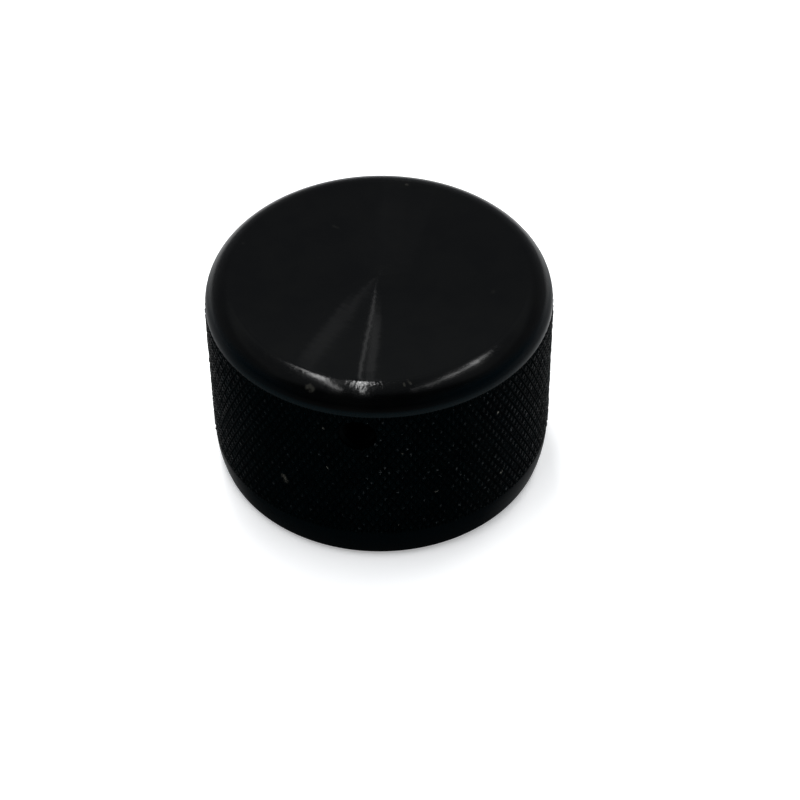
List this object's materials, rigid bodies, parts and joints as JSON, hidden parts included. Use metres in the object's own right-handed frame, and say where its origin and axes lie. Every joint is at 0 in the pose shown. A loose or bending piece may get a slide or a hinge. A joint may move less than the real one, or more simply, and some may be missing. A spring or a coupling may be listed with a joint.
{
  "type": "valve knob",
  "caption": "Round knurled valve knob with a rounded top edge, a recess and blind stem bore underneath, and a radial set screw.",
  "frame": {"origin": "on the knob's axis, in the plane of the foot ring it stands on", "axes": "+Z along the knob's axis, up to the flat top face; the set screw's hole opens towards -Y"},
  "size_m": [0.0382, 0.0382, 0.0245],
  "materials": {
    "black_anodised": "black anodised, turned",
    "black_screw_steel": "black oxide"
  },
  "bodies": {
    "root": {"knob_body": "black_anodised", "set_screw": "black_screw_steel"}
  },
  "joints": []
}
